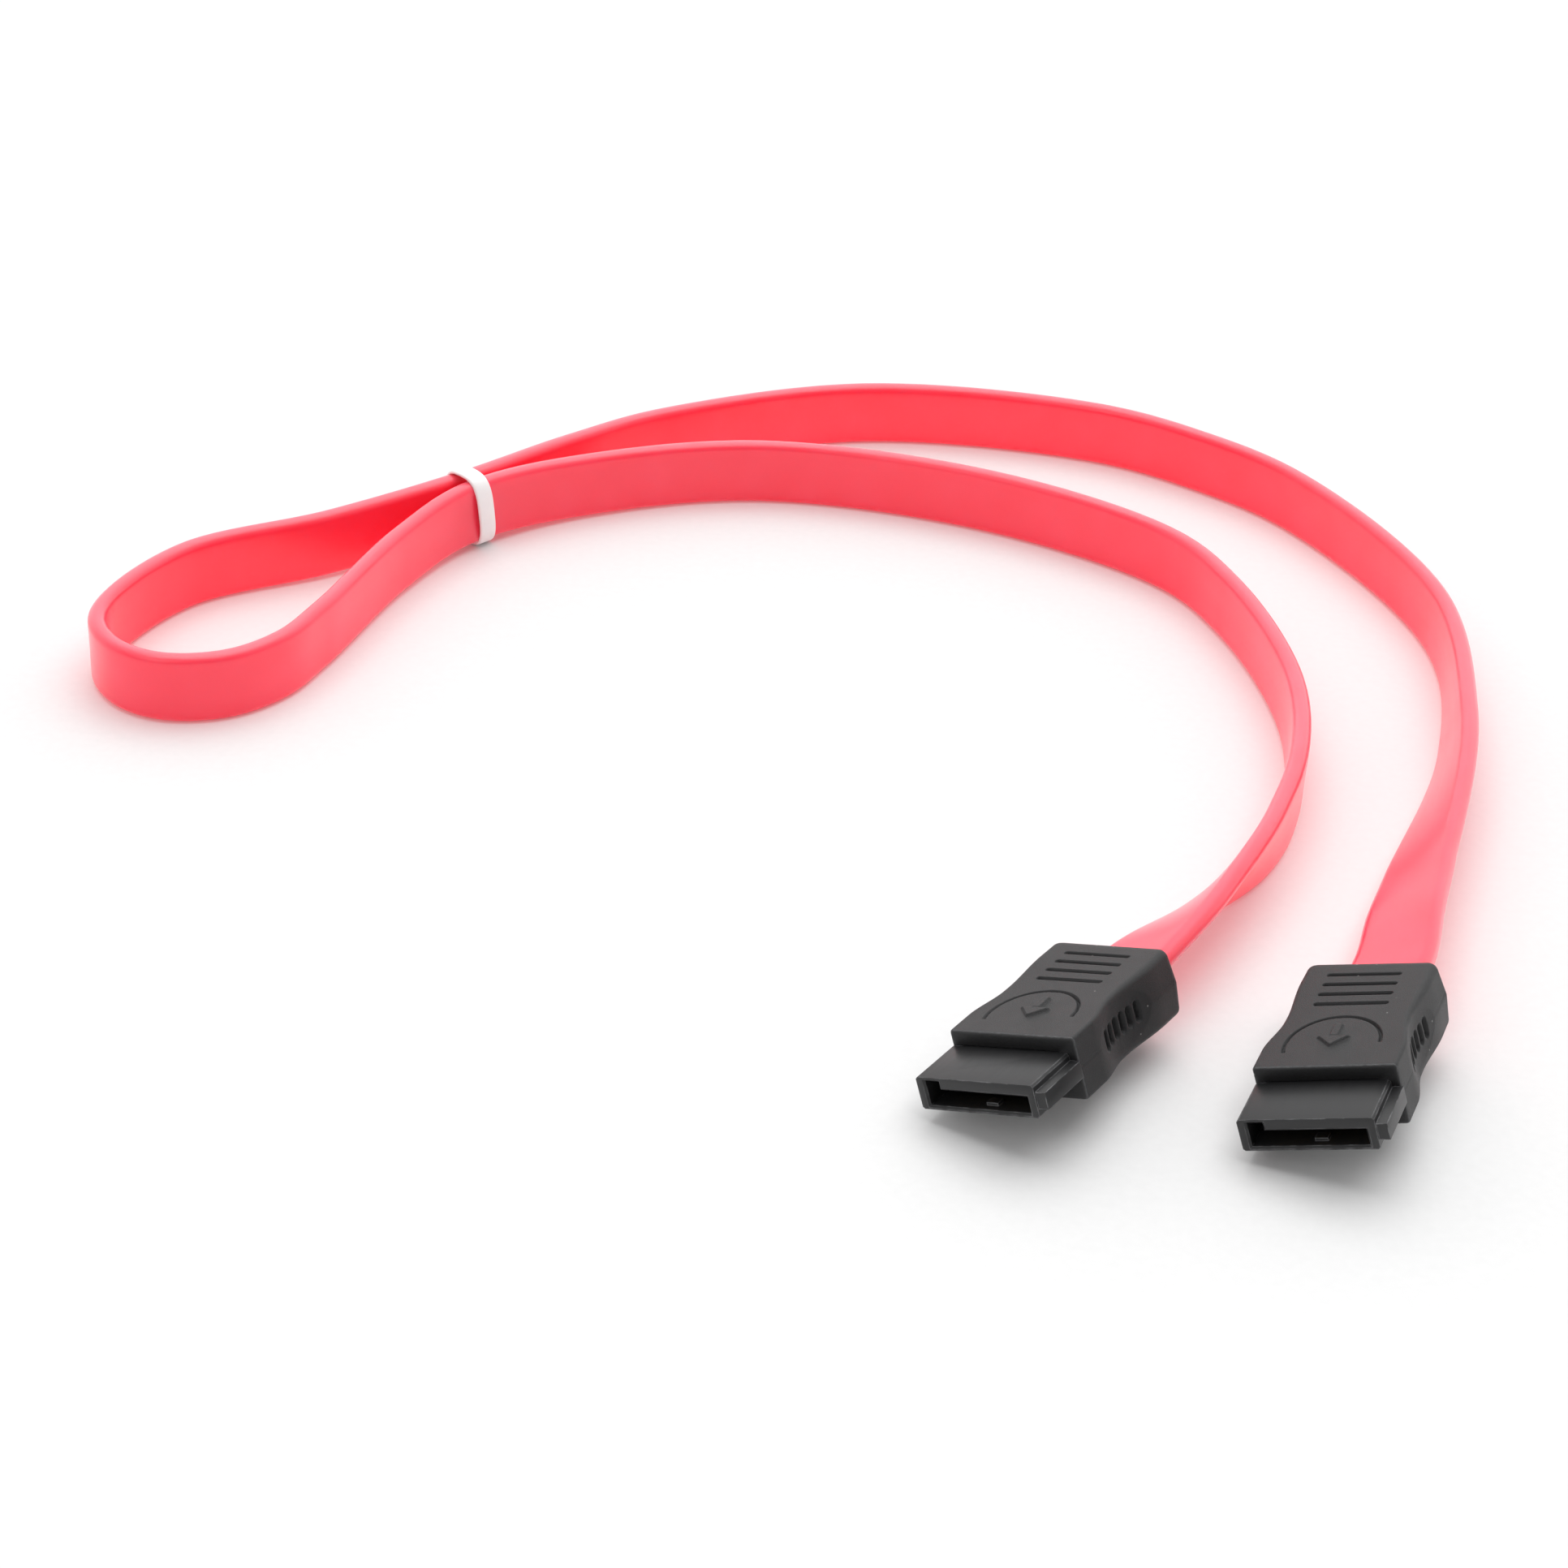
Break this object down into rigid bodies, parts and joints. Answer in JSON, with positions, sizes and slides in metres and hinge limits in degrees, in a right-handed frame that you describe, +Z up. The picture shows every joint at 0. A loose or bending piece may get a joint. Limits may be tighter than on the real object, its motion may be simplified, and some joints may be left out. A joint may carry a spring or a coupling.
{
  "type": "sata data cable",
  "caption": "Flat red PVC data cable lying folded back on itself, a band round its strands, with a straight moulded L-slot plug on each end.",
  "frame": {"origin": "on the floor, below the middle of the box round the two plugs", "axes": "+Z up from the floor, +X to the right and +Y away from the camera as the cable lies in the picture"},
  "size_m": [0.1503, 0.1524, 0.0102],
  "materials": {
    "ribbon": "soft glossy flexible PVC, slightly see-through at its edges",
    "band": "smooth white plastic band",
    "hood": "matte black moulded PVC with a fine grain",
    "housing": "satin black glass-filled nylon",
    "contacts": "gold-plated spring strip"
  },
  "bodies": {
    "root": {"left_hood": "hood", "left_plug_housing": "housing", "right_hood": "hood", "right_plug_housing": "housing", "ribbon": "ribbon", "band": "band", "left_contact_1": "contacts", "left_contact_2": "contacts", "left_contact_3": "contacts", "left_contact_4": "contacts", "left_contact_5": "contacts", "left_contact_6": "contacts", "left_contact_7": "contacts", "right_contact_1": "contacts", "right_contact_2": "contacts", "right_contact_3": "contacts", "right_contact_4": "contacts", "right_contact_5": "contacts", "right_contact_6": "contacts", "right_contact_7": "contacts"}
  },
  "joints": []
}
